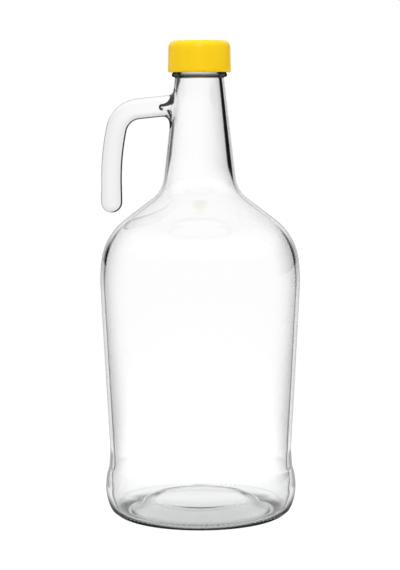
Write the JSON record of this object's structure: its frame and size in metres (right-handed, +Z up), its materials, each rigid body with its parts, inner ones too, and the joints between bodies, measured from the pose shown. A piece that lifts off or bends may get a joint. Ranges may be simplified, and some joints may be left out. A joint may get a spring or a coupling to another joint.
{
  "type": "handled glass jug bottle with screw cap",
  "caption": "Clear glass jug bottle with a tapered barrel, a long conical neck, an open hook handle and a smooth yellow screw cap with a liner.",
  "frame": {"origin": "centre of the standing ring, on the surface that the bottle stands on", "axes": "+Z up along the bottle's axis, +X away from the handle, -X towards the handle, -Y towards the viewer of the front"},
  "size_m": [0.1286, 0.1286, 0.3065],
  "materials": {
    "glass": "fire-polished clear flint glass",
    "cap": "moulded polypropylene, smooth and slightly glossy",
    "liner": "expanded polyethylene foam"
  },
  "bodies": {
    "bottle": {"bottle_base": "glass", "bottle_body": "glass", "bottle_shoulder": "glass", "bottle_neck": "glass", "neck_finish": "glass", "handle": "glass"},
    "liner": {"cap_liner": "liner"},
    "cap": {"screw_cap": "cap"}
  },
  "joints": [
    {"name": "cap_lift", "type": "slide", "parent": "bottle", "child": "liner", "axis": [0, 0, 1], "range_m": [0, 0.02521]},
    {"name": "cap_turn", "type": "hinge", "parent": "liner", "child": "cap", "pos_m": [0, 0, 0.3035], "axis": [0, 0, 1], "range_deg": [0, 2160]}
  ],
  "couplings": [
    {"joint": "cap_lift", "follows": "cap_turn", "m_per_rad": 0.00066845}
  ]
}
